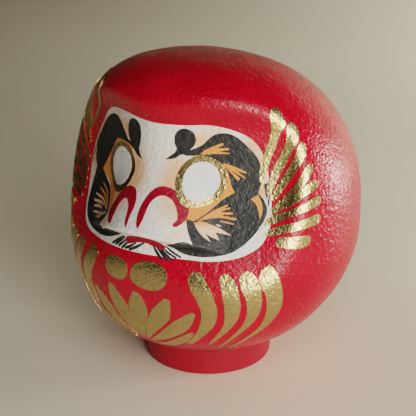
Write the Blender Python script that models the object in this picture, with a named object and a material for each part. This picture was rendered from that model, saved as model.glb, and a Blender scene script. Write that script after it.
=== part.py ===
"""Daruma doll: a hollow papier-mache figure on a round foot.

The body is two moulded pulp halves joined by paper strips on the inside and covered by one skin of
washi paper. A pressed-paper ring carries it, with a clay weight and a card disc in the ring.
Frame: origin at the centre of the foot's underside, +Z up, the face looks along -Y.
"""

import math

import bmesh
import bpy
from mathutils import Vector

MM = 0.001  # all sizes below are in millimetres

# Body, a bulb whose plan and crown are a little squarer than an ellipse
HALF_WIDTH = 80.3
FRONT_DEPTH = 67.1
BACK_DEPTH = 71.9
WAIST = 76.7  # height of the widest place
CROWN_RISE = 93.3
BELLY_DROP = 68.8
CROWN_SQUARENESS = 0.795
PLAN_SQUARENESS = 0.94

# The bulb's centre line: it stands back at the waist and nods forward at the crown
WAIST_SETBACK = 4.0
NOD_SLOPE = 10.6
NOD_CURVE = -24.0

# Below SEAT the bulb is round and upright, to stand in the foot ring
SEAT = 16.0
SEAT_BLEND = 32.0

# Face: a panel pressed into the front, highest in the middle and falling back to both sides.
# It turns forward again under the hood and at the cheeks' outer edges.
BROW_LEVEL, BROW_Y = 141.0, -47.3
EYE_LEVEL, EYE_Y = 115.0, -49.5
LIP_LEVEL, LIP_Y = 86.0, -60.3
CHEEK_SLOPE = 0.57
FACE_ROUNDING = 19.8
HOOD_LEVEL, HOOD_TURN = 138.0, 0.033
CHEEK_EDGE, CHEEK_TURN = 54.0, 0.021
EDGE_ROUNDING = 7.7

# Nose and upper lip: one broad wedge that stands out of the panel
NOSE_TIP_LEVEL, NOSE_TIP_Y = 92.0, -69.7
NOSE_SLOPE = 1.02
NOSE_CROWN = 0.018
NOSE_WING, WING_FALL = 16.0, 0.012
LIP_EDGE, LIP_BOW = 90.3, 0.008
LIP_UNDERCUT = 2.55
NOSE_BLEND = 8.2
LIP_BLEND = 5.0

# Walls, from the outside in
SKIN_WALL = 0.8
CORE_WALL = 2.0
STRIP_WALL = 0.6
GAP = 0.3  # between touching pieces

# Joints between the pieces
SEAM_Y = 4.0
STRIP_HALF_WIDTH = 8.0
STRIP_FOOT = 20.0
CROWN_STRIP_FOOT = 130.0

# Foot
RING_BOTTOM_RADIUS = 35.0
RING_TOP_RADIUS = 35.9
RING_BORE = 29.0
RING_EDGE = 0.8
SEAT_GAP = 0.4
DISC_THICKNESS = 2.0
WEIGHT_RADIUS = 25.0
WEIGHT_SHOULDER = 15.0
WEIGHT_TOP = 25.0

# Facets
COLUMNS = 36
ROWS = 36
OPENING_ROW = 4  # rows left out around the lower pole, for the opening in the foot
FRONT_CROWDING = 0.35  # narrows the columns on the face and widens them on the back
TURNED_STEPS = 48


def smoothstep(value):
    t = min(max(value, 0.0), 1.0)
    return t * t * (3.0 - 2.0 * t)


def smooth_max(a, b, width):
    t = min(max(0.5 + 0.5 * (a - b) / width, 0.0), 1.0)
    return b + (a - b) * t + width * t * (1.0 - t)


def smooth_min(a, b, width):
    return -smooth_max(-a, -b, width)


def signed_power(value, exponent):
    return math.copysign(abs(value) ** exponent, value)


def seating(z):
    """0 where the bulb is round for the ring, 1 where it has its full form."""
    return smoothstep((z - SEAT) / SEAT_BLEND)


def centre_line(z):
    s = (z - WAIST) / CROWN_RISE
    return (WAIST_SETBACK + NOD_SLOPE * s + NOD_CURVE * s * s) * seating(z)


def panel_y(x, z):
    """The pressed face panel's depth at a place on the front."""
    hood = HOOD_TURN * max(z - HOOD_LEVEL, 0.0) ** 2
    edge = CHEEK_TURN * max(abs(x) - CHEEK_EDGE, 0.0) ** 2
    z = min(z, BROW_LEVEL)
    brow = (z - EYE_LEVEL) * (z - LIP_LEVEL)
    brow /= (BROW_LEVEL - EYE_LEVEL) * (BROW_LEVEL - LIP_LEVEL)
    eye = (z - BROW_LEVEL) * (z - LIP_LEVEL)
    eye /= (EYE_LEVEL - BROW_LEVEL) * (EYE_LEVEL - LIP_LEVEL)
    lip = (z - BROW_LEVEL) * (z - EYE_LEVEL)
    lip /= (LIP_LEVEL - BROW_LEVEL) * (LIP_LEVEL - EYE_LEVEL)
    middle = BROW_Y * brow + EYE_Y * eye + LIP_Y * lip
    return middle + CHEEK_SLOPE * (math.hypot(x, FACE_ROUNDING) - FACE_ROUNDING) - hood - edge


def nose_y(x, z):
    bridge = NOSE_TIP_Y + NOSE_SLOPE * (z - NOSE_TIP_LEVEL)
    underside = NOSE_TIP_Y + LIP_UNDERCUT * (LIP_EDGE - LIP_BOW * x * x - z)
    wing = max(abs(x) - NOSE_WING, 0.0)
    return smooth_max(bridge, underside, LIP_BLEND) + NOSE_CROWN * x * x + WING_FALL * wing * wing


def front_y(x, y, z):
    """The bulb's front with the face panel pressed in and the nose added."""
    pressed = smooth_max(y, panel_y(x, z), EDGE_ROUNDING)
    return smooth_min(pressed, nose_y(x, z), NOSE_BLEND)


def body_point(turn, rise):
    """A point of the doll's outside, by its angle round the doll (-90 degrees is the front) and up it."""
    squareness = CROWN_SQUARENESS if rise > 0.0 else 1.0
    girth = max(math.cos(rise), 0.0) ** squareness
    reach = CROWN_RISE if rise > 0.0 else BELLY_DROP
    z = WAIST + reach * signed_power(math.sin(rise), squareness)
    form = seating(z)
    plan = 1.0 + (PLAN_SQUARENESS - 1.0) * form
    depth = FRONT_DEPTH if turn < 0.0 else BACK_DEPTH
    depth = HALF_WIDTH + (depth - HALF_WIDTH) * form
    x = HALF_WIDTH * girth * signed_power(math.cos(turn), plan)
    y = depth * girth * signed_power(math.sin(turn), plan) + centre_line(z)
    if turn < 0.0:
        y = front_y(x, y, z)
    return Vector((x, y, z))


def seat_height(radius):
    """Height of the round bottom of the bulb above the table."""
    return WAIST - BELLY_DROP * math.sqrt(1.0 - (radius / HALF_WIDTH) ** 2)


def paint(name, colour, roughness, metallic=0.0):
    material = bpy.data.materials.new(name)
    material.use_nodes = True
    shader = material.node_tree.nodes["Principled BSDF"]
    shader.inputs["Base Color"].default_value = (*colour, 1.0)
    shader.inputs["Roughness"].default_value = roughness
    shader.inputs["Metallic"].default_value = metallic
    material.diffuse_color = (*colour, 1.0)
    return material


def finish(name, bm, material):
    bmesh.ops.scale(bm, vec=(MM, MM, MM), verts=bm.verts)
    mesh = bpy.data.meshes.new(name)
    bm.to_mesh(mesh)
    bm.free()
    mesh.materials.append(material)
    mesh.shade_smooth()
    mesh.set_sharp_from_angle(angle=math.radians(40.0))
    piece = bpy.data.objects.new(name, mesh)
    bpy.context.collection.objects.link(piece)
    return piece


def body_shell(name, depth, wall, material):
    """A shell that follows the doll's outside, its outer face `depth` below it, open at the foot."""
    bm = bmesh.new()
    bmesh.ops.create_uvsphere(bm, u_segments=COLUMNS, v_segments=ROWS, radius=1.0)
    lowest = math.radians(-90.0 + 180.0 * OPENING_ROW / ROWS)
    outside = [f for f in bm.faces if f.calc_center_median().z < math.sin(lowest)]
    for vert in bm.verts:
        turn = math.atan2(vert.co.y, vert.co.x)
        turn -= FRONT_CROWDING * math.cos(turn)
        turn = (turn + math.pi) % (2.0 * math.pi) - math.pi
        vert.co = body_point(turn, math.asin(max(-1.0, min(1.0, vert.co.z))))
    bm.normal_update()
    inward = bm.verts.layers.float_vector.new("inward")
    for vert in bm.verts:
        vert[inward] = -vert.normal
    bmesh.ops.delete(bm, geom=outside, context="FACES")
    inner = bmesh.ops.duplicate(bm, geom=bm.verts[:] + bm.edges[:] + bm.faces[:])["geom"]
    inner_verts = {g for g in inner if isinstance(g, bmesh.types.BMVert)}
    inner_faces = [g for g in inner if isinstance(g, bmesh.types.BMFace)]
    for vert in bm.verts:
        vert.co += Vector(vert[inward]) * (depth + (wall if vert in inner_verts else 0.0))
    bmesh.ops.reverse_faces(bm, faces=inner_faces)
    rim = [e for e in bm.edges if e.is_boundary]
    bmesh.ops.bridge_loops(bm, edges=rim)
    bmesh.ops.recalc_face_normals(bm, faces=bm.faces)
    return finish(name, bm, material)


def keep_inside(piece, low, high):
    """Cut a piece down to what lies in a box."""
    bm = bmesh.new()
    bmesh.ops.create_cube(bm, size=1.0)
    size = Vector(high) - Vector(low)
    bmesh.ops.scale(bm, vec=size, verts=bm.verts)
    bmesh.ops.translate(bm, vec=Vector(low) + size / 2.0, verts=bm.verts)
    box = finish(piece.name + "_cutter", bm, piece.active_material)
    box.hide_render = True
    box.display_type = "WIRE"
    cut = piece.modifiers.new("trim", "BOOLEAN")
    cut.operation = "INTERSECT"
    cut.solver = "EXACT"
    cut.object = box


def turned(name, profile, material):
    """A solid of revolution from (radius, height) points that run round its section."""
    bm = bmesh.new()
    verts = [bm.verts.new((radius, 0.0, height)) for radius, height in profile]
    for a, b in zip(verts, verts[1:] + verts[:1]):
        bm.edges.new((a, b))
    bmesh.ops.spin(
        bm,
        geom=bm.verts[:] + bm.edges[:],
        cent=(0.0, 0.0, 0.0),
        axis=(0.0, 0.0, 1.0),
        angle=2.0 * math.pi,
        steps=TURNED_STEPS,
        use_merge=True,
    )
    bmesh.ops.remove_doubles(bm, verts=bm.verts, dist=0.001)
    bmesh.ops.dissolve_degenerate(bm, edges=bm.edges, dist=0.0001)
    bmesh.ops.recalc_face_normals(bm, faces=bm.faces)
    return finish(name, bm, material)


def make_skin():
    red = paint("painted_washi", (0.55, 0.012, 0.03), 0.42)
    body_shell("washi_skin", 0.0, SKIN_WALL, red)


def make_cores():
    pulp = paint("moulded_pulp", (0.50, 0.46, 0.38), 0.95)
    depth = SKIN_WALL + GAP
    front = body_shell("front_core", depth, CORE_WALL, pulp)
    keep_inside(front, (-100.0, -100.0, -10.0), (100.0, SEAM_Y - GAP / 2.0, 200.0))
    back = body_shell("back_core", depth, CORE_WALL, pulp)
    keep_inside(back, (-100.0, SEAM_Y + GAP / 2.0, -10.0), (100.0, 120.0, 200.0))


def make_seam_strips():
    paper = paint("seam_paper", (0.78, 0.74, 0.64), 0.9)
    depth = SKIN_WALL + CORE_WALL + 2.0 * GAP
    near = SEAM_Y - STRIP_HALF_WIDTH
    far = SEAM_Y + STRIP_HALF_WIDTH
    top = CROWN_STRIP_FOOT - GAP
    left = body_shell("seam_strip_left", depth, STRIP_WALL, paper)
    keep_inside(left, (1.0, near, STRIP_FOOT), (100.0, far, top))
    right = body_shell("seam_strip_right", depth, STRIP_WALL, paper)
    keep_inside(right, (-100.0, near, STRIP_FOOT), (-1.0, far, top))
    crown = body_shell("seam_strip_crown", depth, STRIP_WALL, paper)
    keep_inside(crown, (-100.0, near, CROWN_STRIP_FOOT), (100.0, far, 200.0))


def make_foot():
    ring_top = seat_height(RING_TOP_RADIUS) - SEAT_GAP
    steps = 4
    seat = []
    for i in range(steps + 1):
        radius = RING_TOP_RADIUS + (RING_BORE - RING_TOP_RADIUS) * i / steps
        seat.append((radius, seat_height(radius) - SEAT_GAP))
    ring = [(RING_BORE, 0.0), (RING_BOTTOM_RADIUS - RING_EDGE, 0.0)]
    ring += [(RING_BOTTOM_RADIUS - 0.3 * RING_EDGE, 0.3 * RING_EDGE)]
    ring += [(RING_BOTTOM_RADIUS, RING_EDGE), ((RING_BOTTOM_RADIUS + RING_TOP_RADIUS) / 2.0, ring_top / 2.0)]
    turned("foot_ring", ring + seat, paint("ring_red", (0.50, 0.015, 0.03), 0.6))

    disc_radius = RING_BORE - 1.5 * GAP
    disc = [(0.0, 0.0), (disc_radius, 0.0), (disc_radius, DISC_THICKNESS), (0.0, DISC_THICKNESS)]
    turned("base_disc", disc, paint("grey_card", (0.42, 0.38, 0.32), 0.9))

    floor = DISC_THICKNESS + GAP
    weight = [(0.0, floor), (WEIGHT_RADIUS, floor), (WEIGHT_RADIUS, WEIGHT_SHOULDER)]
    for i in range(1, 5):
        angle = math.radians(90.0 * i / 5)
        dome = WEIGHT_SHOULDER + (WEIGHT_TOP - WEIGHT_SHOULDER) * math.sin(angle)
        weight.append((WEIGHT_RADIUS * math.cos(angle), dome))
    weight.append((0.0, WEIGHT_TOP))
    turned("ballast_weight", weight, paint("fired_clay", (0.45, 0.22, 0.12), 0.85))


for old in list(bpy.data.objects):
    bpy.data.objects.remove(old, do_unlink=True)
make_skin()
make_cores()
make_seam_strips()
make_foot()
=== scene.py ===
"""Daruma doll: a hollow papier-mache figure in red, with a painted face and gilt ornament."""

import math

import bmesh
import bpy
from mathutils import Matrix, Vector, noise


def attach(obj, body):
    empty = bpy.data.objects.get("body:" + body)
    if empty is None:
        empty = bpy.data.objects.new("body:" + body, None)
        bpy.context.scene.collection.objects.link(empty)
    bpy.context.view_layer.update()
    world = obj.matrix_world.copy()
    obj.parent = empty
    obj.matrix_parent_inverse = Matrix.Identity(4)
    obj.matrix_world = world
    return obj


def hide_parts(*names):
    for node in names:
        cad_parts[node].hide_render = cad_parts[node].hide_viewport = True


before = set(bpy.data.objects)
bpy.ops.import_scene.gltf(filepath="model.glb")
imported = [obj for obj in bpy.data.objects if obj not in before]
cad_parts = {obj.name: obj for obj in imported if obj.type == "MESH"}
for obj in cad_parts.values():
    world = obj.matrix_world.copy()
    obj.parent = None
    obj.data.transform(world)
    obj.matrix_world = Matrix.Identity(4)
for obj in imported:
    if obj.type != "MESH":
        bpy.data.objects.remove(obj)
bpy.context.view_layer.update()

# ---------------------------------------------------------------- camera
# A short telephoto lens in front of the doll's left cheek, a little above its crown, looking
# down on the face.

TARGET = Vector((0.0, 0.0, 0.0826))
CAMERA_TURN = math.radians(32.5)
CAMERA_RISE = math.radians(20.0)
CAMERA_REACH = 0.5327

camera_data = bpy.data.cameras.new("camera")
camera_data.lens = 85.0
camera_data.sensor_width = 36.0
camera = bpy.data.objects.new("camera", camera_data)
bpy.context.collection.objects.link(camera)
towards = Vector((
    math.sin(CAMERA_TURN) * math.cos(CAMERA_RISE),
    -math.cos(CAMERA_TURN) * math.cos(CAMERA_RISE),
    math.sin(CAMERA_RISE),
))
camera.location = TARGET + towards * CAMERA_REACH
camera.rotation_euler = towards.to_track_quat("Z", "Y").to_euler()
bpy.context.scene.camera = camera

# ---------------------------------------------------------------- washi skin
# The outside of the doll: mulberry paper laid wet over the moulded pulp and lacquered red.
# It follows the bulb of the body, with the face pressed in and the nose standing out of it.

MM = 0.001  # lengths in these sections are in millimetres

# The bulb: its half sizes, how square it is, how its middle leans, and where it turns round
# and upright to stand in the ring
HALF_WIDTH, FRONT_DEPTH, BACK_DEPTH = 80.3, 67.1, 71.9
WAIST, CROWN_RISE, BELLY_DROP = 76.7, 93.3, 68.8
CROWN_SQUARENESS, PLAN_SQUARENESS = 0.795, 0.94
WAIST_SETBACK, NOD_SLOPE, NOD_CURVE = 4.0, 10.6, -24.0
SEAT, SEAT_BLEND = 16.0, 32.0

# The pressed-in face: a panel through the brow, eye and lip, its hood and cheeks, and the nose
BROW_LEVEL, BROW_Y = 141.0, -47.3
EYE_LEVEL, EYE_Y = 115.0, -49.5
LIP_LEVEL, LIP_Y = 86.0, -60.3
CHEEK_SLOPE, FACE_ROUNDING = 0.57, 19.8
HOOD_LEVEL, HOOD_TURN = 138.0, 0.033
CHEEK_EDGE, CHEEK_TURN = 54.0, 0.021
EDGE_ROUNDING = 7.7
NOSE_TIP_LEVEL, NOSE_TIP_Y = 92.0, -69.7
NOSE_SLOPE, NOSE_CROWN = 1.02, 0.018
NOSE_WING, WING_FALL = 16.0, 0.012
LIP_EDGE, LIP_BOW, LIP_UNDERCUT = 90.3, 0.008, 2.55
NOSE_BLEND, LIP_BLEND = 8.2, 5.0

SKIN_WALL = 0.8
SKIN_COLUMNS, SKIN_ROWS = 252, 216
FOOT_OPENING = math.radians(-70.0)
FRONT_CROWDING = 0.35  # narrows the columns on the face and widens them on the back
LIP_RISE, LIP_SPREAD, LIP_CROWDING = 0.11, 0.17, 0.55  # the same for the rows at the lip
HAND_LAID = 0.16  # how far the paper wanders from the mould, at HAND_REACH from the middle
HAND_REACH = 80.0
HAND_SPREAD = 13.0
SHARPEST = 50.0  # degrees between faces, past which an edge isn't shaded smooth


def smoothstep(value):
    t = min(max(value, 0.0), 1.0)
    return t * t * (3.0 - 2.0 * t)


def smooth_max(a, b, width):
    t = min(max(0.5 + 0.5 * (a - b) / width, 0.0), 1.0)
    return b + (a - b) * t + width * t * (1.0 - t)


def signed_power(value, exponent):
    return math.copysign(abs(value) ** exponent, value)


def seating(z):
    return smoothstep((z - SEAT) / SEAT_BLEND)


def centre_line(z):
    s = (z - WAIST) / CROWN_RISE
    return (WAIST_SETBACK + NOD_SLOPE * s + NOD_CURVE * s * s) * seating(z)


def panel_y(x, z):
    hood = HOOD_TURN * max(z - HOOD_LEVEL, 0.0) ** 2
    edge = CHEEK_TURN * max(abs(x) - CHEEK_EDGE, 0.0) ** 2
    z = min(z, BROW_LEVEL)
    brow = (z - EYE_LEVEL) * (z - LIP_LEVEL)
    brow /= (BROW_LEVEL - EYE_LEVEL) * (BROW_LEVEL - LIP_LEVEL)
    eye = (z - BROW_LEVEL) * (z - LIP_LEVEL)
    eye /= (EYE_LEVEL - BROW_LEVEL) * (EYE_LEVEL - LIP_LEVEL)
    lip = (z - BROW_LEVEL) * (z - EYE_LEVEL)
    lip /= (LIP_LEVEL - BROW_LEVEL) * (LIP_LEVEL - EYE_LEVEL)
    middle = BROW_Y * brow + EYE_Y * eye + LIP_Y * lip
    return middle + CHEEK_SLOPE * (math.hypot(x, FACE_ROUNDING) - FACE_ROUNDING) - hood - edge


def nose_y(x, z):
    bridge = NOSE_TIP_Y + NOSE_SLOPE * (z - NOSE_TIP_LEVEL)
    underside = NOSE_TIP_Y + LIP_UNDERCUT * (LIP_EDGE - LIP_BOW * x * x - z)
    wing = max(abs(x) - NOSE_WING, 0.0)
    return smooth_max(bridge, underside, LIP_BLEND) + NOSE_CROWN * x * x + WING_FALL * wing * wing


def front_y(x, y, z):
    pressed = smooth_max(y, panel_y(x, z), EDGE_ROUNDING)
    return -smooth_max(-pressed, -nose_y(x, z), NOSE_BLEND)


def body_point(turn, rise):
    """A point of the skin, by its angle round the doll (-90 degrees is the front) and up it."""
    squareness = CROWN_SQUARENESS if rise > 0.0 else 1.0
    girth = max(math.cos(rise), 0.0) ** squareness
    reach = CROWN_RISE if rise > 0.0 else BELLY_DROP
    z = WAIST + reach * signed_power(math.sin(rise), squareness)
    form = seating(z)
    plan = 1.0 + (PLAN_SQUARENESS - 1.0) * form
    depth = FRONT_DEPTH if turn < 0.0 else BACK_DEPTH
    depth = HALF_WIDTH + (depth - HALF_WIDTH) * form
    x = HALF_WIDTH * girth * signed_power(math.cos(turn), plan)
    y = depth * girth * signed_power(math.sin(turn), plan) + centre_line(z)
    if turn < 0.0:
        y = front_y(x, y, z)
    point = Vector((x, y, z))
    wander = noise.noise(point / HAND_SPREAD) * HAND_LAID * seating(z)
    return point * (1.0 - wander / HAND_REACH)


def hand_finish(bm, name, material):
    """Turn a bmesh in millimetres into a piece that rides on the doll."""
    bmesh.ops.scale(bm, vec=(MM, MM, MM), verts=bm.verts)
    mesh = bpy.data.meshes.new(name)
    bm.to_mesh(mesh)
    bm.free()
    mesh.materials.append(material)
    mesh.shade_smooth()
    mesh.set_sharp_from_angle(angle=math.radians(SHARPEST))
    piece = bpy.data.objects.new(name, mesh)
    bpy.context.collection.objects.link(piece)
    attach(piece, "root")
    return piece


class Finish:
    """A material with its node tree, built up one node at a time."""

    def __init__(self, name, roughness, metallic=0.0):
        self.material = bpy.data.materials.new(name)
        self.material.use_nodes = True
        self.tree = self.material.node_tree
        self.shader = self.tree.nodes["Principled BSDF"]
        self.shader.inputs["Roughness"].default_value = roughness
        self.shader.inputs["Metallic"].default_value = metallic
        self.place = self.node("ShaderNodeTexCoord").outputs["Object"]

    def node(self, kind, **settings):
        made = self.tree.nodes.new(kind)
        for key, value in settings.items():
            setattr(made, key, value)
        return made

    def link(self, source, socket):
        self.tree.links.new(source, socket)

    def stretched(self, scale):
        """Object coordinates scaled by `scale`, to draw a pattern out along one way."""
        mapping = self.node("ShaderNodeMapping")
        mapping.inputs["Scale"].default_value = scale
        self.link(self.place, mapping.inputs["Vector"])
        return mapping.outputs["Vector"]

    def grain(self, size, detail=3.0, rough=0.55, warp=0.0, place=None):
        """Noise whose lumps are about `size` millimetres across, from 0 to 1."""
        noise_node = self.node("ShaderNodeTexNoise")
        noise_node.inputs["Scale"].default_value = 1.0 / (size * MM)
        noise_node.inputs["Detail"].default_value = detail
        noise_node.inputs["Roughness"].default_value = rough
        noise_node.inputs["Distortion"].default_value = warp
        self.link(place or self.place, noise_node.inputs["Vector"])
        return noise_node.outputs["Fac"]

    def spread(self, source, low, high, out_low=0.0, out_high=1.0):
        """`source` from low to high, stretched with soft ends to out_low to out_high."""
        span = self.node("ShaderNodeMapRange", interpolation_type="SMOOTHSTEP")
        ends = (("From Min", low), ("From Max", high), ("To Min", out_low), ("To Max", out_high))
        for socket, value in ends:
            span.inputs[socket].default_value = value
        self.link(source, span.inputs["Value"])
        return span.outputs["Result"]

    def blend(self, factor, a, b):
        """A colour between `a` and `b`, each a plain colour or the output of a node."""
        mix = self.node("ShaderNodeMix", data_type="RGBA")
        self.link(factor, mix.inputs["Factor"])
        for side, socket in ((a, mix.inputs[6]), (b, mix.inputs[7])):
            if isinstance(side, tuple):
                socket.default_value = (*side, 1.0)
            else:
                self.link(side, socket)
        return mix.outputs[2]

    def sum(self, a, b, weight):
        """a + b * weight, of two numbers."""
        add = self.node("ShaderNodeMath", operation="MULTIPLY_ADD")
        self.link(b, add.inputs[0])
        add.inputs[1].default_value = weight
        self.link(a, add.inputs[2])
        return add.outputs["Value"]

    def relief(self, height, depth):
        """Raise the surface by `depth` millimetres where `height` is 1."""
        bump = self.node("ShaderNodeBump")
        bump.inputs["Strength"].default_value = 1.0
        bump.inputs["Distance"].default_value = depth * MM
        self.link(height, bump.inputs["Height"])
        self.link(bump.outputs["Normal"], self.shader.inputs["Normal"])

    def washi(self):
        """Height of laid mulberry paper: soft creases, with short fibres crossing them."""
        creases = self.grain(2.4, detail=2.0, rough=0.5, warp=0.5)
        fibres = self.grain(1.1, detail=1.0, rough=0.4, warp=0.4)
        return self.sum(creases, fibres, 0.30)


red = Finish("red_lacquer", 0.24)
mottle = red.spread(red.grain(16.0, detail=5.0, rough=0.65), 0.35, 0.68)
colour = red.blend(mottle, (0.42, 0.0006, 0.014), (0.51, 0.0010, 0.020))
rubbed = red.spread(red.grain(1.6, detail=4.0, rough=0.7, warp=0.8), 0.62, 0.78)
colour = red.blend(rubbed, colour, (0.55, 0.004, 0.026))
red.link(colour, red.shader.inputs["Base Color"])
red.link(red.spread(red.grain(6.0), 0.3, 0.7, 0.26, 0.34), red.shader.inputs["Roughness"])
red.relief(red.washi(), 0.55)


def bulb_surface(bm, columns, rows, depth):
    """One surface of the body, `depth` under the skin's outside and open at the foot."""
    made = bmesh.ops.create_uvsphere(bm, u_segments=columns, v_segments=rows, radius=1.0)["verts"]
    faces = list({f for v in made for f in v.link_faces})
    foot_opening = [f for f in faces if f.calc_center_median().z < math.sin(FOOT_OPENING)]
    for vert in made:
        turn = math.atan2(vert.co.y, vert.co.x)
        turn -= FRONT_CROWDING * math.cos(turn)
        turn = (turn + math.pi) % (2.0 * math.pi) - math.pi
        rise = math.asin(max(-1.0, min(1.0, vert.co.z)))
        near = (rise - LIP_RISE) / LIP_SPREAD
        rise -= LIP_CROWDING * (rise - LIP_RISE) * math.exp(-near * near)
        if rise > 0.0:
            rise = math.asin(math.sin(rise) ** (1.0 / CROWN_SQUARENESS))
        vert.co = body_point(turn, rise)
    bm.normal_update()
    inward = [(vert, vert.normal * -depth) for vert in made]
    for vert, way in inward:
        vert.co += way
    left = set(faces) - set(foot_opening)
    bmesh.ops.delete(bm, geom=foot_opening, context="FACES")
    return list(left)


def bulb_shell(columns, rows, depth, wall):
    """A closed wall that follows the body, with a coarser lining."""
    bm = bmesh.new()
    bulb_surface(bm, columns, rows, depth)
    lining = bulb_surface(bm, columns // 2, rows // 2, depth + wall)
    bmesh.ops.reverse_faces(bm, faces=lining)
    bmesh.ops.bridge_loops(bm, edges=[e for e in bm.edges if e.is_boundary])
    bmesh.ops.recalc_face_normals(bm, faces=bm.faces)
    return bm


bm = bulb_shell(SKIN_COLUMNS, SKIN_ROWS, 0.0, SKIN_WALL)
skin = hand_finish(bm, "lacquered_skin", red.material)
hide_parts("washi_skin")

# ---------------------------------------------------------------- white face
# Shell-white gesso brushed over the pressed-in face, the ground for all the painting on it.
# Orange is breathed onto the white round the eyes and brows while it is still damp.


HAIR = 0.15  # the finest line the brush draws
TIP_STEPS = 6  # in the half round of a stroke's end


def smooth_outline(points, step=0.8):
    """A closed curve through points; a point with a third value is a corner."""
    count = len(points)
    course = []
    for i in range(count):
        before, here, there, after = (points[(i + k) % count] for k in (-1, 0, 1, 2))
        a, b = Vector(here[:2]), Vector(there[:2])
        leave = b - a if len(here) > 2 else (b - Vector(before[:2])) / 2.0
        arrive = b - a if len(there) > 2 else (Vector(after[:2]) - a) / 2.0
        pieces = max(2, round((b - a).length / step))
        for k in range(pieces):
            t = k / pieces
            course.append(
                a * (2 * t**3 - 3 * t**2 + 1)
                + leave * (t**3 - 2 * t**2 + t)
                + b * (3 * t**2 - 2 * t**3)
                + arrive * (t**3 - t**2)
            )
    return course


def brush_outline(points, step=0.8):
    """The outline of a brush stroke, from (across, up, width) places on its middle."""
    spine = []
    last = len(points) - 1
    for i in range(last):
        before, here, there, after = (Vector(points[min(max(i + k, 0), last)]) for k in (-1, 0, 1, 2))
        pieces = max(2, round((there - here).xy.length / step))
        for k in range(pieces + (i == last - 1)):
            t = k / pieces
            spine.append(
                here * (2 * t**3 - 3 * t**2 + 1)
                + (there - before) / 2.0 * (t**3 - 2 * t**2 + t)
                + there * (3 * t**2 - 2 * t**3)
                + (after - here) / 2.0 * (t**3 - t**2)
            )
    left, right = [], []
    for i, place in enumerate(spine):
        along = (spine[min(i + 1, len(spine) - 1)] - spine[max(i - 1, 0)]).xy.normalized()
        across = Vector((-along.y, along.x)) * max(place.z, HAIR) / 2.0
        left.append(place.xy + across)
        right.append(place.xy - across)
    head, tail = [], []
    for place, side, cap in ((spine[-1], left[-1], head), (spine[0], right[0], tail)):
        arm = side - place.xy
        for k in range(1, TIP_STEPS):
            angle = math.pi * k / TIP_STEPS
            cap.append(place.xy + Vector((
                arm.x * math.cos(angle) + arm.y * math.sin(angle),
                arm.y * math.cos(angle) - arm.x * math.sin(angle),
            )))
    return left + head + right[::-1] + tail


def on_face(x, z):
    """The skin straight behind (x, z) of the front view."""
    s = (z - WAIST) / (CROWN_RISE if z > WAIST else BELLY_DROP)
    squareness = CROWN_SQUARENESS if z > WAIST else 1.0
    rise = math.asin(max(-1.0, min(1.0, signed_power(s, 1.0 / squareness))))
    girth = HALF_WIDTH * math.cos(rise) ** squareness
    plan = 1.0 + (PLAN_SQUARENESS - 1.0) * seating(z)
    turn = -math.acos(max(-1.0, min(1.0, signed_power(x / girth, 1.0 / plan))))
    return body_point(turn, rise)


def on_body(turn, rise):
    """The skin at angles in degrees."""
    return body_point(math.radians((turn + 180.0) % 360.0 - 180.0), math.radians(rise))


SINK = 0.25  # how far a painted layer starts below the skin, so that no light passes under it
NEARBY = 0.3  # how far off two more places are taken, to find which way the skin faces
ORNAMENT_MIDDLE = -91.5  # the turn that the gilt ornament is centred on, in degrees


def filled(outline, grid):
    """A flat sheet inside an outline, cut along a grid so that it can bend with the body."""
    sheet = bmesh.new()
    verts = [sheet.verts.new((p.x, p.y, 0.0)) for p in outline]
    for a, b in zip(verts, verts[1:] + verts[:1]):
        sheet.edges.new((a, b))
    bmesh.ops.remove_doubles(sheet, verts=sheet.verts, dist=0.02)
    bmesh.ops.triangle_fill(sheet, edges=sheet.edges, use_beauty=True, use_dissolve=False)
    for axis in (0, 1):
        low = min(v.co[axis] for v in sheet.verts)
        high = max(v.co[axis] for v in sheet.verts)
        for k in range(math.ceil(low / grid[axis]), math.ceil(high / grid[axis])):
            at, way = Vector((0, 0, 0)), Vector((0, 0, 0))
            at[axis], way[axis] = k * grid[axis], 1.0
            bmesh.ops.bisect_plane(
                sheet,
                geom=sheet.verts[:] + sheet.edges[:] + sheet.faces[:],
                dist=0.001,
                plane_co=at,
                plane_no=way,
            )
    return sheet


def lay_on(sheet, place, lift):
    """Thicken a flat sheet and lay it on the skin, from SINK under it to `lift` over it."""
    top = bmesh.ops.extrude_face_region(sheet, geom=sheet.faces[:])["geom"]
    for vert in (g for g in top if isinstance(g, bmesh.types.BMVert)):
        vert.co.z = 1.0
    for vert in sheet.verts:
        u, v = vert.co.x, vert.co.y
        here = place(u, v)
        out = (place(u + NEARBY, v) - here).cross(place(u, v + NEARBY) - here).normalized()
        vert.co = here + out * (lift if vert.co.z > 0.5 else -SINK)
    bmesh.ops.recalc_face_normals(sheet, faces=sheet.faces)


def painted(name, outlines, place, lift, material, grid=(1.2, 0.6), stagger=0.0,
            mirrored=False, tint=None):
    """Layers of paint in one piece: one for each outline, and its mirror image if asked for."""
    bm = bmesh.new()
    shade = bm.verts.layers.float.new("tint") if tint else None
    middle = ORNAMENT_MIDDLE if place is on_body else 0.0
    for flip in (False, True) if mirrored else (False,):
        for i, outline in enumerate(outlines):
            if flip:
                outline = [Vector((2 * middle - p.x, p.y)) for p in outline]
            sheet = filled(outline, grid)
            lay_on(sheet, place, lift + stagger * i)
            holder = bpy.data.meshes.new("layer")
            sheet.to_mesh(holder)
            sheet.free()
            bm.from_mesh(holder)
            bpy.data.meshes.remove(holder)
    if tint:
        for vert in bm.verts:
            vert[shade] = tint(vert.co.x, vert.co.z)
    piece = hand_finish(bm, name, material)


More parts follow.
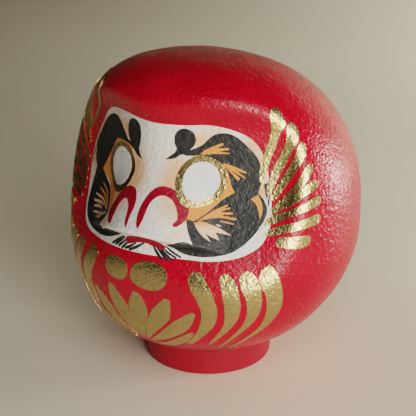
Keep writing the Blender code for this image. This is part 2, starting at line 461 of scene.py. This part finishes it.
# Places where the orange is breathed on: across, up, spread and strength
BREATHED = (
    (11.0, 112.0, 7.5, 0.55),
    (12.0, 121.0, 7.0, 0.42),
    (21.5, 134.0, 4.2, 0.50),
    (27.0, 141.0, 6.0, 0.18),
    (44.5, 131.5, 5.6, 0.45),
    (50.5, 124.0, 4.2, 0.50),
    (50.5, 110.0, 4.5, 0.62),
    (53.5, 100.0, 3.5, 0.30),
    (22.5, 103.0, 7.0, 0.70),
    (22.0, 90.0, 5.0, 0.24),
    (13.0, 102.0, 4.5, 0.20),
    (32.0, 131.0, 9.0, 0.40),
    (45.0, 117.0, 9.0, 0.40),
)


def orange_breath(x, z):
    left = 1.0
    for across, up, spread, strength in BREATHED:
        distance = ((abs(x) - across) ** 2 + (z - up) ** 2) / spread**2
        left *= 1.0 - strength * math.exp(-distance)
    return 1.0 - left


FACE = [
    (0.0, 141.2), (15.0, 141.3), (26.0, 142.0), (36.0, 139.8), (44.5, 135.4), (49.5, 128.0),
    (52.5, 118.0), (55.4, 105.0), (56.8, 94.0), (54.5, 85.5), (47.0, 80.3), (36.0, 78.0),
    (22.0, 78.2), (10.0, 78.2), (-2.0, 77.7), (-14.0, 77.2), (-30.0, 77.0), (-43.0, 78.0),
    (-50.0, 82.5), (-53.0, 92.0), (-55.0, 108.0), (-53.0, 119.0), (-46.0, 131.0), (-38.5, 139.5),
    (-31.0, 143.0), (-20.0, 142.8), (-9.0, 141.8),
]

white = Finish("shell_white", 0.62)
soiled = white.spread(white.grain(9.0, detail=5.0, rough=0.7), 0.3, 0.75)
ground = white.blend(soiled, (0.82, 0.79, 0.75), (0.74, 0.71, 0.68))
breath = white.node("ShaderNodeAttribute", attribute_name="tint").outputs["Fac"]
sprayed = white.sum(breath, white.grain(1.3, detail=3.0), 0.10)
ground = white.blend(white.spread(sprayed, 0.05, 0.62), ground, (0.80, 0.47, 0.29))
ground = white.blend(white.spread(sprayed, 0.55, 1.05), ground, (0.72, 0.25, 0.07))
white.link(ground, white.shader.inputs["Base Color"])
white.relief(white.washi(), 0.55)
painted("white_face", [smooth_outline(FACE)], on_face, 0.15, white.material,
        tint=orange_breath)

# ---------------------------------------------------------------- orange fields
# The corners between eye, brow and beard, filled with orange before the black goes on. In the
# names here, right and left are as seen from in front of the doll.

RIGHT_ORANGE = [
    (19.0, 127.0), (26.0, 128.0), (33.0, 124.5), (37.5, 118.0), (40.5, 109.5), (36.0, 105.0),
    (31.0, 100.5), (26.0, 96.2), (22.0, 96.8, 1), (20.5, 101.0), (22.0, 108.0), (24.0, 116.0),
]

LEFT_ORANGE = [
    (-43.0, 107.8, 1), (-40.0, 113.2), (-36.2, 119.4), (-33.6, 124.6), (-30.4, 128.2), (-24.0, 128.6),
    (-16.0, 126.4), (-19.0, 118.0), (-25.0, 106.0), (-22.0, 98.0), (-21.6, 92.8, 1), (-25.8, 97.4),
    (-30.8, 101.4), (-37.0, 105.4),
]

CREAM_LEVEL, ORANGE_LEVEL = 92.5, 98.5  # thinned to cream below the one, full above the other

orange = Finish("orange_wash", 0.55)
washed = orange.grain(7.0, detail=3.0)
parted = orange.node("ShaderNodeSeparateXYZ")
orange.link(orange.place, parted.inputs["Vector"])
faded = orange.spread(parted.outputs["Z"], CREAM_LEVEL * MM, ORANGE_LEVEL * MM)
faded = orange.sum(faded, washed, 0.25)
tone = orange.blend(orange.spread(faded, 0.0, 1.0), (0.82, 0.54, 0.38), (0.80, 0.27, 0.075))
orange.link(tone, orange.shader.inputs["Base Color"])
orange.relief(orange.washi(), 0.55)
painted("orange_fields", [smooth_outline(p) for p in (RIGHT_ORANGE, LEFT_ORANGE)], on_face, 0.22,
        orange.material)

# ---------------------------------------------------------------- brows and beard
# Sumi ink in one flowing shape a side: the crane of the brow, and the tortoise of the beard.

RIGHT_INK = [
    (5.9, 123.5, 1), (8.0, 125.4), (10.4, 127.4), (11.3, 129.4), (10.3, 132.0), (10.3, 135.6),
    (12.2, 138.7), (15.5, 139.7), (18.8, 138.2), (20.2, 134.7), (19.3, 131.3), (17.2, 129.1, 1),
    (20.3, 130.3), (23.4, 132.2), (25.5, 134.6), (27.8, 136.8), (31.0, 138.0), (35.0, 137.8),
    (39.0, 135.6), (43.5, 131.2), (47.3, 126.3), (49.4, 120.5), (49.7, 114.5), (49.2, 109.4, 1),
    (52.2, 106.0), (54.2, 100.6), (52.3, 93.4), (48.3, 86.8), (43.6, 82.6), (38.1, 80.7),
    (32.2, 79.8), (26.0, 80.0), (21.2, 81.0), (17.2, 82.8), (13.4, 84.1, 1), (17.8, 86.2),
    (21.5, 88.3), (25.0, 88.7), (28.4, 87.1, 1), (26.0, 90.8), (23.8, 94.6), (22.2, 98.3, 1),
    (25.3, 96.8, 1), (29.2, 100.2), (34.6, 106.2), (39.1, 109.5, 1), (37.4, 112.4), (35.6, 117.4),
    (33.2, 122.0), (29.0, 125.1), (23.5, 126.9), (16.8, 126.3), (13.9, 126.8), (10.4, 124.6),
]
LEFT_INK = [
    (-8.3, 121.4, 1), (-10.9, 125.4), (-10.0, 130.0), (-9.7, 135.0), (-11.3, 139.4), (-15.3, 140.6),
    (-18.9, 138.1), (-19.8, 133.2), (-18.8, 129.4), (-17.6, 128.2, 1), (-20.2, 128.8), (-23.8, 132.8),
    (-27.4, 137.2), (-31.8, 139.0), (-37.7, 136.8), (-43.5, 131.4), (-48.3, 124.2), (-51.0, 117.4),
    (-51.0, 111.6), (-48.4, 107.0, 1), (-50.0, 100.4), (-50.8, 93.6), (-50.2, 87.6), (-47.4, 82.8),
    (-42.0, 80.0), (-34.0, 78.9), (-25.6, 79.6), (-18.8, 81.8), (-13.6, 84.3, 1), (-18.6, 84.8),
    (-23.8, 84.8), (-27.2, 83.3), (-30.8, 82.0, 1), (-27.4, 86.4), (-22.8, 92.8), (-25.4, 96.2),
    (-29.8, 100.0), (-34.8, 103.1), (-39.2, 105.9), (-42.2, 107.8, 1), (-39.2, 112.7), (-35.6, 118.5),
    (-32.8, 123.4), (-29.9, 126.9, 1), (-24.3, 127.3), (-18.2, 126.5), (-15.2, 125.2), (-11.6, 122.6),
]
WISPS = [
    [(50.9, 113.8, 1), (52.9, 114.6, 1), (53.4, 110.6), (53.0, 106.8, 1), (52.0, 110.0)],
    [(53.9, 111.0, 1), (54.4, 106.0), (54.3, 102.6, 1), (53.7, 106.0)],
]

LEFT_WISP = [(-48.6, 125.0, 0.3), (-51.6, 118.6, 0.6), (-53.4, 112.0, 0.5), (-53.6, 107.6, 0.3)]

ink = Finish("sumi_ink", 0.5)
pooled = ink.spread(ink.grain(5.0, detail=5.0, rough=0.7), 0.35, 0.7)
ink.link(ink.blend(pooled, (0.012, 0.012, 0.012), (0.028, 0.028, 0.028)), ink.shader.inputs["Base Color"])
ink.link(ink.spread(ink.grain(2.2, detail=3.0), 0.3, 0.7, 0.42, 0.58), ink.shader.inputs["Roughness"])
ink.relief(ink.washi(), 0.7)
marks = [smooth_outline(p) for p in [RIGHT_INK, LEFT_INK] + WISPS] + [brush_outline(LEFT_WISP, 0.6)]
painted("brows_and_beard", marks, on_face, 0.30, ink.material)

# ---------------------------------------------------------------- whiskers
# Short hairs at the corners of the mouth, flicked outwards with the tip of the brush.

WHISKERS = [
    [(6.6, 82.6, 0.7), (9.0, 79.9, 1.30), (11.9, 77.2, 1.25)],
    [(8.2, 82.6, 0.6), (11.6, 79.8, 1.15), (15.0, 77.0, 1.15)],
    [(9.9, 82.5, 0.6), (13.4, 79.8, 1.10), (17.0, 77.5, 1.05)],
    [(11.3, 82.5, 0.5), (15.0, 80.3, 0.95), (18.9, 78.6, 0.85)],
    [(12.8, 83.4, 0.5), (16.8, 81.0, 0.90), (21.2, 79.0, 0.75)],
    [(-12.4, 83.5, 0.6), (-16.0, 80.7, 1.05), (-19.3, 78.3, 1.10)],
    [(-11.3, 83.2, 0.6), (-14.2, 80.6, 1.05), (-16.9, 78.3, 1.10)],
    [(-9.8, 82.5, 0.6), (-12.4, 80.2, 1.05), (-14.5, 78.3, 1.10)],
    [(-8.4, 81.6, 0.6), (-10.4, 79.6, 1.10), (-11.9, 77.9, 1.10)],
    [(-3.9, 81.9, 0.6), (-6.9, 79.7, 1.20), (-9.6, 78.3, 1.15)],
    [(1.0, 83.0, 0.6), (-3.0, 80.2, 1.30), (-6.7, 78.2, 1.25)],
]
painted("whiskers", [brush_outline(p, 0.6) for p in WHISKERS], on_face, 0.32, ink.material,
        grid=(1.0, 0.6), stagger=0.004)

# ---------------------------------------------------------------- feather marks
# Wing feathers reserved in orange and cream inside the black, finger-shaped and fine.

RIGHT_FEATHERS = [
    [(22.7, 127.6, 0.5), (26.0, 129.6, 1.6), (31.8, 132.7, 1.2)],
    [(23.2, 127.6, 0.5), (28.0, 129.4, 1.7), (34.4, 130.5, 1.0)],
    [(23.4, 127.3, 0.4), (29.0, 128.4, 1.2), (34.9, 128.3, 0.6)],
    [(32.8, 123.2, 0.4), (36.2, 121.6, 1.6), (42.6, 119.3, 0.9)],
    [(35.0, 121.6, 0.5), (38.6, 119.3, 1.0), (42.6, 116.7, 0.6)],
    [(33.2, 122.4, 0.3), (36.8, 119.0, 1.0), (39.7, 116.1, 1.5)],
    [(26.8, 97.0, 0.2), (31.4, 100.3, 1.1), (36.7, 103.4, 0.8)],
    [(29.0, 98.6, 0.4), (34.0, 101.0, 1.2), (38.0, 102.2, 0.7)],
    [(26.8, 97.0, 0.2), (32.6, 99.3, 2.1), (36.0, 99.7, 1.2), (39.4, 99.9, 1.0)],
    [(27.4, 97.1, 0.2), (32.6, 98.4, 1.4), (36.4, 98.0, 1.1), (41.2, 97.3, 1.1)],
    [(35.2, 96.2, 0.4), (38.2, 95.6, 0.7), (41.0, 95.0, 0.4)],
    [(34.2, 94.6, 0.8), (35.8, 93.9, 0.5)],
]
LEFT_FEATHERS = [
    [(-26.0, 94.0, 0.3), (-31.0, 97.3, 1.0), (-39.0, 101.3, 0.6)],
    [(-26.0, 93.6, 0.3), (-33.0, 96.0, 1.1), (-40.8, 98.3, 0.7)],
    [(-27.0, 93.6, 0.3), (-35.5, 94.3, 1.3), (-43.8, 94.6, 0.9)],
    [(-32.0, 93.0, 0.6), (-38.5, 92.1, 1.5), (-44.3, 91.3, 0.9)],
    [(-34.0, 90.9, 0.9), (-38.5, 90.1, 1.4), (-42.9, 88.8, 1.0)],
    [(-24.5, 93.0, 0.5), (-31.0, 89.6, 1.5), (-38.2, 87.2, 1.3), (-42.5, 86.2, 0.8)],
    [(-30.4, 88.4, 0.8), (-34.6, 86.8, 1.1), (-38.6, 85.2, 0.7)],
]
CREAM_WING = [
    (25.6, 96.3, 1), (28.5, 96.5), (34.9, 93.4), (41.4, 89.6, 1), (37.6, 90.5), (34.5, 91.3, 1),
    (37.0, 87.7, 1), (33.8, 89.4), (31.0, 91.4, 1), (34.1, 87.3, 1), (31.2, 89.6), (28.6, 92.2),
    (26.9, 94.4),
]
SLIVER = [
    (46.2, 106.8, 1), (49.2, 108.8, 1), (51.2, 105.2), (52.2, 101.0), (51.8, 97.4, 1), (50.6, 100.8),
    (49.0, 104.2),
]
feathers = [brush_outline(p, 0.6) for p in RIGHT_FEATHERS + LEFT_FEATHERS]
feathers += [smooth_outline(p, 0.6) for p in (CREAM_WING, SLIVER)]
painted("feather_marks", feathers, on_face, 0.36, orange.material, grid=(1.0, 0.6),
        stagger=0.004)

# ---------------------------------------------------------------- nose and mouth
# Crimson brushed on wet: a hook for each side of the nose, and a bar for the mouth under it.

RIGHT_HOOK = [
    (3.1, 93.4), (0.9, 96.0), (-0.4, 99.4), (-0.5, 102.6), (0.8, 106.4), (3.4, 109.5), (7.2, 111.0),
    (11.8, 110.3), (16.4, 108.1), (20.2, 105.0), (22.0, 101.3), (22.2, 98.2), (21.1, 96.0),
    (19.3, 94.9), (18.0, 95.9), (18.9, 97.8), (18.0, 100.2), (15.5, 103.8), (12.4, 106.2),
    (9.0, 107.2), (6.0, 106.4), (3.8, 104.2), (3.2, 100.8), (3.6, 97.2),
]
LEFT_HOOK = [
    (-19.0, 92.6), (-21.2, 95.8), (-19.6, 100.6), (-16.3, 105.6), (-12.2, 107.9), (-7.9, 107.6),
    (-5.3, 104.3), (-4.2, 100.2), (-4.2, 96.6), (-3.2, 92.6, 1), (-5.5, 94.7), (-6.8, 98.0),
    (-8.4, 100.9), (-11.3, 102.9), (-13.8, 102.0), (-15.8, 98.8), (-15.7, 94.4), (-15.4, 91.6),
]
MOUTH = [
    (-10.4, 82.2), (-9.6, 84.0), (-5.6, 85.4), (0.0, 86.5), (6.5, 86.3), (11.4, 84.2), (12.9, 82.4),
    (11.6, 81.6), (6.8, 82.4), (1.5, 83.2), (-3.4, 82.4), (-8.2, 80.8),
]

crimson = Finish("crimson_paint", 0.45)
dragged = crimson.grain(1.4, detail=4.0, rough=0.65, place=crimson.stretched((1.0, 1.0, 0.35)))
tone = crimson.blend(crimson.spread(dragged, 0.45, 0.72), (0.30, 0.0025, 0.018), (0.44, 0.010, 0.040))
crimson.link(tone, crimson.shader.inputs["Base Color"])
crimson.relief(crimson.washi(), 0.6)
painted("nose_and_mouth", [smooth_outline(p) for p in (RIGHT_HOOK, LEFT_HOOK, MOUTH)], on_face, 0.36,
        crimson.material)

# ---------------------------------------------------------------- gilt eye rings and eyes
# A disc of gold paint for each eye, with the white of the eye laid over it, left blank until
# the owner's wish is made and again until it comes true.

EYE_ACROSS, EYE_UP = 23.8, 114.6
RING_WIDE, RING_TALL = 11.4, 12.1
RING_WOBBLE, WAVES = 0.012, 5  # the brush's wander round the ring, as a share of its radius
WHITE_WIDE, WHITE_TALL = 8.3, 9.3
OVAL_POINTS = 16


def oval(wide, tall, wobble):
    points = []
    for k in range(OVAL_POINTS):
        angle = math.tau * k / OVAL_POINTS
        reach = 1.0 + wobble * math.sin(WAVES * angle + wide)
        points.append((
            EYE_ACROSS + wide * reach * math.cos(angle),
            EYE_UP + tall * reach * math.sin(angle),
        ))
    return smooth_outline(points)


gilt = Finish("gold_paint", 0.30, 1.0)
crinkle = gilt.grain(1.5, detail=1.5, rough=0.5, warp=0.6)
flake = gilt.spread(gilt.grain(2.6, detail=5.0, rough=0.7, warp=0.6), 0.32, 0.70)
leaf = gilt.blend(flake, (0.53, 0.39, 0.18), (0.63, 0.48, 0.245))
gilt.link(leaf, gilt.shader.inputs["Base Color"])
gilt.link(gilt.spread(gilt.grain(1.2, detail=2.0), 0.3, 0.7, 0.27, 0.34), gilt.shader.inputs["Roughness"])
gilt.relief(gilt.sum(crinkle, gilt.washi(), 0.8), 0.32)
painted("eye_rings", [oval(RING_WIDE, RING_TALL, RING_WOBBLE)], on_face, 0.40, gilt.material,
        mirrored=True)

eye_white = Finish("eye_white", 0.6)
clouded = eye_white.spread(eye_white.grain(12.0), 0.3, 0.7)
eye_white.link(eye_white.blend(clouded, (0.80, 0.79, 0.78), (0.76, 0.75, 0.75)),
               eye_white.shader.inputs["Base Color"])
eye_white.relief(eye_white.washi(), 0.4)
painted("eye_whites", [oval(WHITE_WIDE, WHITE_TALL, 0.0)], on_face, 0.48, eye_white.material,
        mirrored=True)

# ---------------------------------------------------------------- gilt fans
# Eight or nine strokes spread from each cheek, pressed broad outside and lifted off inwards.
# Places are angles in degrees: round the doll, up it, and the width of the stroke.

RIGHT_FAN = [
    [(-26.0, 46.0, 5.2), (-28.4, 43.6, 7.4), (-36.5, 37.6, 3.9),
     (-44.5, 30.0, 3.4), (-49.0, 24.0, 3.0), (-51.0, 19.4, 2.0)],
    [(-21.6, 39.6, 4.4), (-24.4, 37.0, 6.4), (-31.5, 32.0, 4.4),
     (-38.0, 27.2, 3.8), (-43.4, 22.6, 3.5), (-47.6, 16.6, 2.6)],
    [(-20.6, 31.8, 3.2), (-23.0, 30.4, 4.5), (-29.4, 26.2, 3.9),
     (-35.6, 22.4, 3.6), (-40.8, 18.8, 3.2), (-45.6, 14.6, 2.2)],
    [(-19.6, 24.6, 2.4), (-22.2, 23.4, 3.4), (-27.6, 20.2, 3.3),
     (-33.6, 16.8, 3.0), (-40.0, 13.6, 3.2), (-45.8, 10.6, 2.0)],
    [(-18.8, 19.2, 2.0), (-21.2, 18.6, 3.0), (-26.6, 17.0, 2.6),
     (-32.6, 15.0, 2.8), (-39.0, 13.0, 2.4)],
    [(-18.8, 14.0, 2.2), (-21.4, 13.6, 2.9), (-28.0, 12.3, 2.3),
     (-35.0, 10.9, 2.1), (-42.0, 9.3, 2.2), (-48.2, 7.9, 1.5)],
    [(-19.8, 8.9, 2.2), (-22.6, 8.6, 2.7), (-29.0, 7.9, 2.3),
     (-36.0, 7.1, 2.1), (-42.0, 6.3, 1.9), (-46.6, 5.6, 1.3)],
    [(-25.0, 4.1, 2.2), (-28.0, 4.0, 2.7), (-34.0, 4.0, 2.5), (-40.4, 4.0, 2.0)],
]
LEFT_FAN = [
    [(-154.0, 56.0, 4.4), (-142.0, 51.0, 3.6), (-135.6, 42.0, 2.8),
     (-136.8, 33.0, 2.8), (-141.0, 26.6, 1.6)],
    [(-164.0, 50.0, 7.0), (-155.0, 44.0, 5.4), (-148.5, 35.0, 4.0), (-142.6, 26.0, 2.4)],
    [(-165.0, 41.0, 5.4), (-155.0, 34.6, 3.8), (-147.0, 26.6, 2.8), (-139.2, 20.6, 1.5)],
    [(-166.0, 33.0, 4.6), (-156.0, 27.6, 3.4), (-146.4, 20.8, 2.6), (-137.4, 15.6, 1.6)],
    [(-166.0, 26.0, 4.0), (-156.0, 21.8, 3.0), (-146.0, 16.6, 2.5), (-136.4, 11.8, 1.6)],
    [(-166.0, 20.0, 3.6), (-156.0, 16.8, 2.8), (-145.4, 13.0, 2.3), (-135.4, 9.0, 1.6)],
    [(-165.0, 14.0, 3.2), (-155.0, 11.8, 2.6), (-145.0, 9.6, 2.2), (-135.0, 6.8, 1.4)],
    [(-158.0, 8.6, 3.0), (-151.0, 8.0, 2.6), (-143.0, 6.6, 2.0), (-136.0, 4.8, 1.2)],
    [(-157.0, 3.2, 2.6), (-150.0, 3.4, 2.6), (-143.0, 2.8, 2.0)],
]
painted("cheek_fans", [brush_outline(p) for p in RIGHT_FAN + LEFT_FAN], on_body, 0.42, gilt.material,
        grid=(1.4, 1.0), stagger=0.01)

# ---------------------------------------------------------------- gilt belly
# Four crescents a side round the belly, a fine line under them, and between them a spray of
# petals with two round buds over it. Places are angles in degrees, as on the fans.

CRESCENTS = [
    [(-69.3, -5.8, 5.6), (-67.6, -9.0, 6.5), (-64.9, -13.5, 6.6), (-62.4, -20.0, 6.4),
     (-62.1, -27.0, 6.0), (-63.9, -33.8, 3.8), (-67.0, -40.0, 2.8)],
    [(-59.2, -5.0, 3.7), (-57.6, -7.0, 5.1), (-55.9, -10.0, 6.1), (-53.8, -16.0, 6.4),
     (-52.9, -22.4, 5.9), (-53.5, -28.6, 3.8), (-57.6, -40.0, 1.3)],
    [(-50.7, -4.6, 5.4), (-49.0, -7.0, 6.7), (-46.9, -10.2, 6.6), (-45.0, -15.6, 6.1),
     (-44.3, -22.0, 5.2), (-46.2, -29.6, 3.0), (-52.2, -43.0, 1.0)],
    [(-42.2, -3.4, 7.2), (-40.4, -6.2, 7.8), (-38.1, -10.4, 7.0), (-35.9, -17.4, 6.8),
     (-35.7, -24.0, 5.4), (-37.9, -31.0, 3.2), (-46.8, -45.0, 1.0)],
]
UNDERLINE = [(-42.0, -47.6, 0.7), (-49.0, -53.4, 1.3), (-62.0, -58.4, 1.5), (-90.0, -60.6, 1.6),
             (-118.0, -58.4, 1.5), (-131.0, -53.4, 1.3), (-138.0, -47.6, 0.7)]
BUDS = [
    [(-104.6, -4.6), (-100.0, -3.0), (-95.4, -4.4), (-94.6, -9.6),
     (-97.6, -12.8), (-102.6, -12.6), (-105.4, -9.0)],
    [(-93.2, -8.0), (-91.4, -3.6), (-86.0, -1.2), (-80.6, -3.4),
     (-79.6, -9.2), (-83.4, -13.4), (-89.0, -14.0), (-92.8, -11.6)],
]
PETALS = [
    [(-89.0, -42.0, 1.6), (-85.8, -34.0, 5.6), (-82.0, -25.5, 8.0), (-79.6, -18.0, 3.4)],
    [(-86.5, -43.0, 1.5), (-79.5, -37.0, 5.4), (-73.0, -29.5, 7.4), (-69.2, -23.0, 3.2)],
    [(-84.0, -46.0, 1.4), (-76.0, -42.6, 4.4), (-70.4, -37.6, 4.8), (-67.6, -33.6, 2.4)],
]
MIDDLE_PETAL = [(-91.5, -42.0, 2.0), (-91.5, -34.0, 5.8), (-91.5, -25.0, 8.2), (-91.5, -18.0, 3.4)]
painted("belly_crescents", [brush_outline(p) for p in CRESCENTS], on_body, 0.20, gilt.material,
        grid=(1.4, 1.0), stagger=0.02, mirrored=True)
spray = [brush_outline(p) for p in (UNDERLINE, MIDDLE_PETAL)] + [smooth_outline(p) for p in BUDS]
painted("belly_spray", spray, on_body, 0.20, gilt.material, grid=(1.4, 1.0), stagger=0.02)
painted("belly_petals", [brush_outline(p) for p in PETALS], on_body, 0.20, gilt.material,
        grid=(1.4, 1.0), stagger=0.02, mirrored=True)

# ---------------------------------------------------------------- foot ring
# A pressed-paper hoop glued under the bulb and painted matt red. Its upper face is hollowed to
# the round of the belly, and its fibres stand upright.

RING_BOTTOM_RADIUS, RING_TOP_RADIUS, RING_BORE = 35.0, 35.9, 29.0
SEAT_GAP = 0.4
RING_EDGE, BORE_EDGE, RIM_EDGE, RIM_SHOULDER = 1.1, 0.4, 0.35, 0.5
EDGE_STEPS, SIDE_STEPS, SEAT_STEPS, ROUND_STEPS = 5, 9, 6, 180

ring_red = Finish("matt_red", 0.55)
upright = ring_red.stretched((1.0, 1.0, 0.12))
strand = ring_red.grain(1.3, detail=4.0, rough=0.65, warp=0.5, place=upright)
tone = ring_red.blend(ring_red.spread(strand, 0.38, 0.70), (0.33, 0.0010, 0.013), (0.38, 0.002, 0.017))
ring_red.link(tone, ring_red.shader.inputs["Base Color"])
ring_red.relief(ring_red.sum(ring_red.washi(), strand, 0.25), 0.4)


def seat_height(radius):
    return WAIST - BELLY_DROP * math.sqrt(1.0 - (radius / HALF_WIDTH) ** 2)


profile = [(RING_BORE, BORE_EDGE), (RING_BORE + BORE_EDGE, 0.0), (RING_BOTTOM_RADIUS - RING_EDGE, 0.0)]
for k in range(1, EDGE_STEPS + 1):
    angle = math.radians(90.0 * k / EDGE_STEPS)
    profile.append((
        RING_BOTTOM_RADIUS - RING_EDGE * (1.0 - math.sin(angle)),
        RING_EDGE * (1.0 - math.cos(angle)),
    ))
ring_top = seat_height(RING_TOP_RADIUS) - SEAT_GAP
for k in range(1, SIDE_STEPS):
    share = k / SIDE_STEPS
    profile.append((
        RING_BOTTOM_RADIUS + (RING_TOP_RADIUS - RING_BOTTOM_RADIUS) * share,
        RING_EDGE + (ring_top - RIM_SHOULDER - RING_EDGE) * share,
    ))
profile.append((RING_TOP_RADIUS, ring_top - RIM_EDGE))
for k in range(SEAT_STEPS + 1):
    radius = RING_TOP_RADIUS - RIM_EDGE + (RING_BORE - RING_TOP_RADIUS + RIM_EDGE) * k / SEAT_STEPS
    profile.append((radius, seat_height(radius) - SEAT_GAP))
bm = bmesh.new()
verts = [bm.verts.new((radius, 0.0, level)) for radius, level in profile]
for a, b in zip(verts, verts[1:] + verts[:1]):
    bm.edges.new((a, b))
bmesh.ops.spin(bm, geom=bm.verts[:] + bm.edges[:], cent=(0, 0, 0), axis=(0, 0, 1), angle=math.tau,
               steps=ROUND_STEPS, use_merge=True)
bmesh.ops.remove_doubles(bm, verts=bm.verts, dist=0.001)
bmesh.ops.recalc_face_normals(bm, faces=bm.faces)
ring = hand_finish(bm, "pressed_ring", ring_red.material)
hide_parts("foot_ring")

# ---------------------------------------------------------------- moulded cores
# Two halves of grey pulp pressed in moulds, front and back, which meet in the plane of the
# seam. They follow the skin at one depth, so that nothing shows through under the lip.

CORE_DEPTH, CORE_WALL = 1.1, 2.0
CORE_COLUMNS, CORE_ROWS = 144, 108
SEAM_Y, SEAM_GAP = 4.0, 0.15

pulp = Finish("grey_pulp", 0.95)
lumps = pulp.grain(2.4, detail=6.0, rough=0.75)
pulp.link(pulp.blend(pulp.spread(lumps, 0.3, 0.7), (0.36, 0.32, 0.26), (0.56, 0.51, 0.43)),
          pulp.shader.inputs["Base Color"])
pulp.relief(lumps, 0.8)

for name, node, side in (("front_pulp", "front_core", -1.0), ("back_pulp", "back_core", 1.0)):
    bm = bulb_shell(CORE_COLUMNS, CORE_ROWS, CORE_DEPTH, CORE_WALL)
    bmesh.ops.bisect_plane(
        bm,
        geom=bm.verts[:] + bm.edges[:] + bm.faces[:],
        dist=0.0001,
        plane_co=(0.0, SEAM_Y + side * SEAM_GAP, 0.0),
        plane_no=(0.0, side, 0.0),
        clear_inner=True,
    )
    rim = [e for e in bm.edges if e.is_boundary]
    bmesh.ops.triangle_fill(bm, edges=rim, use_beauty=True, normal=(0.0, -side, 0.0))
    bmesh.ops.recalc_face_normals(bm, faces=bm.faces)
    core = hand_finish(bm, name, pulp.material)
    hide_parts(node)

# ---------------------------------------------------------------- inner pieces
# The paper strips glued over the seam, the fired clay weight and the card disc under it keep
# their shapes and only get their finishes here.

paper = Finish("seam_paper", 0.9)
laid = paper.grain(1.5, detail=4.0, place=paper.stretched((1.0, 1.0, 0.2)))
paper.link(paper.blend(paper.spread(laid, 0.35, 0.7), (0.70, 0.66, 0.56), (0.84, 0.80, 0.71)),
           paper.shader.inputs["Base Color"])
paper.relief(laid, 0.3)

clay = Finish("fired_clay", 0.85)
grit = clay.grain(1.2, detail=6.0, rough=0.7)
clay.link(clay.blend(clay.spread(grit, 0.35, 0.7), (0.34, 0.14, 0.07), (0.52, 0.26, 0.14)),
          clay.shader.inputs["Base Color"])
clay.relief(grit, 0.5)

card = Finish("grey_card", 0.9)
fleck = card.grain(0.9, detail=5.0, rough=0.7)
card.link(card.blend(card.spread(fleck, 0.4, 0.7), (0.30, 0.27, 0.23), (0.47, 0.43, 0.37)),
          card.shader.inputs["Base Color"])
card.relief(card.grain(2.0, detail=5.0), 0.25)

for node, finish in (
    ("seam_strip_left", paper), ("seam_strip_right", paper), ("seam_strip_crown", paper),
    ("ballast_weight", clay), ("base_disc", card),
):
    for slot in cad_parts[node].material_slots:
        slot.material = finish.material

# ---------------------------------------------------------------- table and backdrop
# A roll of pale warm paper that runs along the table and sweeps up in a wide bend well behind
# the doll, so that no line shows where table and wall meet.

FLOOR_HALF = 5.0
SWEEP_START, SWEEP_RADIUS, WALL_TOP = 0.9, 0.6, 2.2  # in metres, as the floor is
SWEEP_STEPS = 16

backdrop = Finish("backdrop_paper", 0.85)
cloud = backdrop.grain(400.0, detail=2.0)
backdrop.link(backdrop.blend(cloud, (0.85, 0.79, 0.63), (0.87, 0.81, 0.65)),
              backdrop.shader.inputs["Base Color"])
bm = bmesh.new()
edge = [bm.verts.new((-FLOOR_HALF, -FLOOR_HALF, 0.0)), bm.verts.new((-FLOOR_HALF, SWEEP_START, 0.0))]
for k in range(1, SWEEP_STEPS + 1):
    angle = math.radians(90.0 * k / SWEEP_STEPS)
    back = SWEEP_START + SWEEP_RADIUS * math.sin(angle)
    edge.append(bm.verts.new((-FLOOR_HALF, back, SWEEP_RADIUS * (1.0 - math.cos(angle)))))
edge.append(bm.verts.new((-FLOOR_HALF, SWEEP_START + SWEEP_RADIUS, WALL_TOP)))
for a, b in zip(edge, edge[1:]):
    bm.edges.new((a, b))
across = bmesh.ops.extrude_edge_only(bm, edges=bm.edges[:])["geom"]
far_edge = [g for g in across if isinstance(g, bmesh.types.BMVert)]
bmesh.ops.translate(bm, vec=(2 * FLOOR_HALF, 0, 0), verts=far_edge)
bmesh.ops.recalc_face_normals(bm, faces=bm.faces)
mesh = bpy.data.meshes.new("backdrop")
bm.to_mesh(mesh)
bm.free()
mesh.materials.append(backdrop.material)
mesh.shade_smooth()
floor = bpy.data.objects.new("backdrop", mesh)
bpy.context.collection.objects.link(floor)

# ---------------------------------------------------------------- lights
# Two low softboxes at the doll's left, one before it for the face and one behind it for the shine
# on the flank. Three washes are aimed at the paper, and the room is dim.


def softbox(name, place, aim, wide, tall, power, colour):
    data = bpy.data.lights.new(name, "AREA")
    data.shape = "RECTANGLE"
    data.size, data.size_y = wide, tall
    data.energy = power
    data.color = colour
    lamp = bpy.data.objects.new(name, data)
    bpy.context.collection.objects.link(lamp)
    lamp.location = place
    lamp.rotation_euler = (Vector(place) - Vector(aim)).to_track_quat("Z", "Y").to_euler()


softbox("key", (0.74, -0.52, 0.20), (0.05, -0.05, 0.03), 0.46, 0.34, 6.2, (1.0, 0.97, 0.92))
softbox("side", (0.74, 0.66, 0.07), (0.0, 0.0, 0.08), 0.24, 0.28, 7.0, (1.0, 0.98, 0.94))
softbox("floor_wash", (0.25, 0.30, 0.30), (0.15, 0.60, 0.0), 0.3, 0.4, 0.8, (1.0, 0.97, 0.91))
softbox("back_wash", (0.45, 0.95, 0.50), (0.10, 1.45, 0.10), 0.5, 0.7, 7.5, (1.0, 0.97, 0.91))
softbox("front_wash", (0.50, -0.45, 0.50), (0.36, -0.35, 0.0), 0.5, 0.5, 2.5, (1.0, 0.97, 0.91))

world = bpy.data.worlds.new("room")
bpy.context.scene.world = world
world.use_nodes = True
room = world.node_tree.nodes["Background"]
room.inputs["Color"].default_value = (0.78, 0.72, 0.60, 1.0)
room.inputs["Strength"].default_value = 0.03
bpy.context.scene.view_settings.view_transform = "Filmic"
bpy.context.scene.view_settings.look = "Medium High Contrast"
